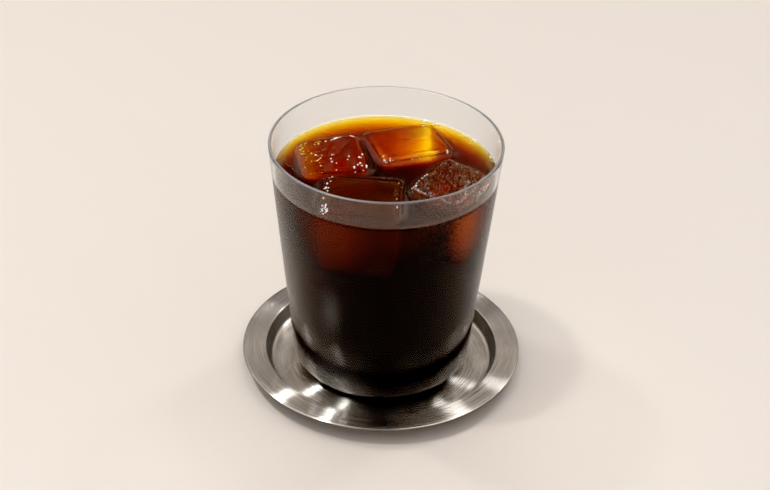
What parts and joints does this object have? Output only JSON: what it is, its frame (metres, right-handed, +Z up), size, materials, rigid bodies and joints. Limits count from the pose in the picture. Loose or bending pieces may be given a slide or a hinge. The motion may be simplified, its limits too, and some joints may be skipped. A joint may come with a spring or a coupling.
{
  "type": "iced cold brew coffee",
  "caption": "Iced cold brew coffee in a thin tapered glass tumbler that stands in the well of a round steel saucer with a broad flat rim.",
  "frame": {"origin": "centre of the saucer's flat underside", "axes": "+Z up, -Y towards the front that the picture shows, +X to the right"},
  "size_m": [0.1104, 0.1104, 0.0995],
  "materials": {
    "steel": "turned and finely brushed round the centre",
    "clear_glass": "thin clear glass with a light haze of condensation outside",
    "cold_brew": "clear liquid, near black in depth and amber where it is thin",
    "ice": "clear wet ice tinted amber by the coffee round it"
  },
  "bodies": {
    "root": {"saucer": "steel", "glass": "clear_glass", "coffee": "cold_brew", "ice_back_left": "ice", "ice_back_right": "ice", "ice_front_left": "ice", "ice_front_right": "ice"}
  },
  "joints": []
}
